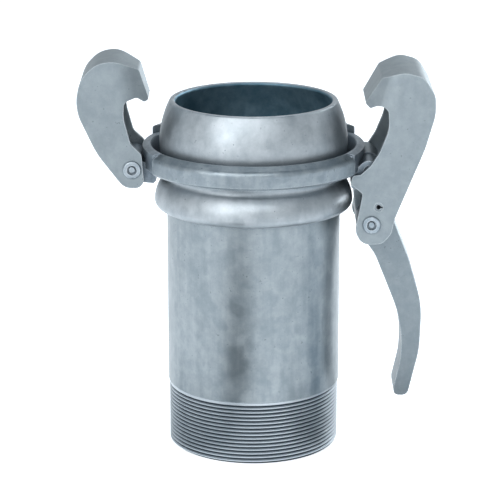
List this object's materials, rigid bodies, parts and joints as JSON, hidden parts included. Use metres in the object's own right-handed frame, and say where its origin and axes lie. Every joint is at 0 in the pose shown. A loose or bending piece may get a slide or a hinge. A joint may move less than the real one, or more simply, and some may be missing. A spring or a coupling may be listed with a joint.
{
  "type": "ball coupling half",
  "caption": "Steel ball half of a quick pipe coupling: threaded nipple, ball head, loose closing ring, plain hook and hook with hand lever.",
  "frame": {"origin": "centre of the threaded end face of the pipe nipple", "axes": "+Z along the pipe axis towards the ball end; the plain hook is on the -X side, the hook with the hand lever on the +X side"},
  "size_m": [0.2057, 0.1318, 0.233],
  "materials": {
    "galvanised_sheet": "hot-dip galvanised pressed steel",
    "galvanised_tube": "hot-dip galvanised tube",
    "galvanised_casting": "rougher galvanised forging",
    "galvanised_pin": "galvanised rivet and pin"
  },
  "bodies": {
    "pipe_half": {"ball_head": "galvanised_sheet", "threaded_nipple": "galvanised_tube", "nipple_weld": "galvanised_casting"},
    "closing_ring": {"ring_band_front": "galvanised_casting", "ring_band_rear": "galvanised_casting", "ring_welds": "galvanised_casting", "hinge_block_left": "galvanised_casting", "hinge_block_right": "galvanised_casting", "knuckle_pin": "galvanised_pin"},
    "left_hook": {"hook_left": "galvanised_sheet", "hook_left_rivet": "galvanised_pin"},
    "lever": {"hand_lever": "galvanised_casting"},
    "right_hook": {"hook_right": "galvanised_sheet", "lever_rivet": "galvanised_pin", "stop_pin": "galvanised_pin"}
  },
  "joints": [
    {"name": "ring_turn", "type": "hinge", "parent": "pipe_half", "child": "closing_ring", "pos_m": [0, 0, 0.175], "axis": [0, 0, 1], "continuous": true},
    {"name": "left_hook_hinge", "type": "hinge", "parent": "closing_ring", "child": "left_hook", "pos_m": [-0.0703, 0, 0.1698], "axis": [0, -1, 0], "range_deg": [-8, 32]},
    {"name": "lever_hinge", "type": "hinge", "parent": "closing_ring", "child": "lever", "pos_m": [0.0665, 0, 0.17], "axis": [0, -1, 0], "range_deg": [0, 54]},
    {"name": "hook_link", "type": "hinge", "parent": "lever", "child": "right_hook", "pos_m": [0.0682, 0, 0.1389], "axis": [0, -1, 0], "range_deg": [-54, 0]}
  ],
  "couplings": [
    {"joint": "hook_link", "follows": "lever_hinge", "ratio": -1}
  ]
}
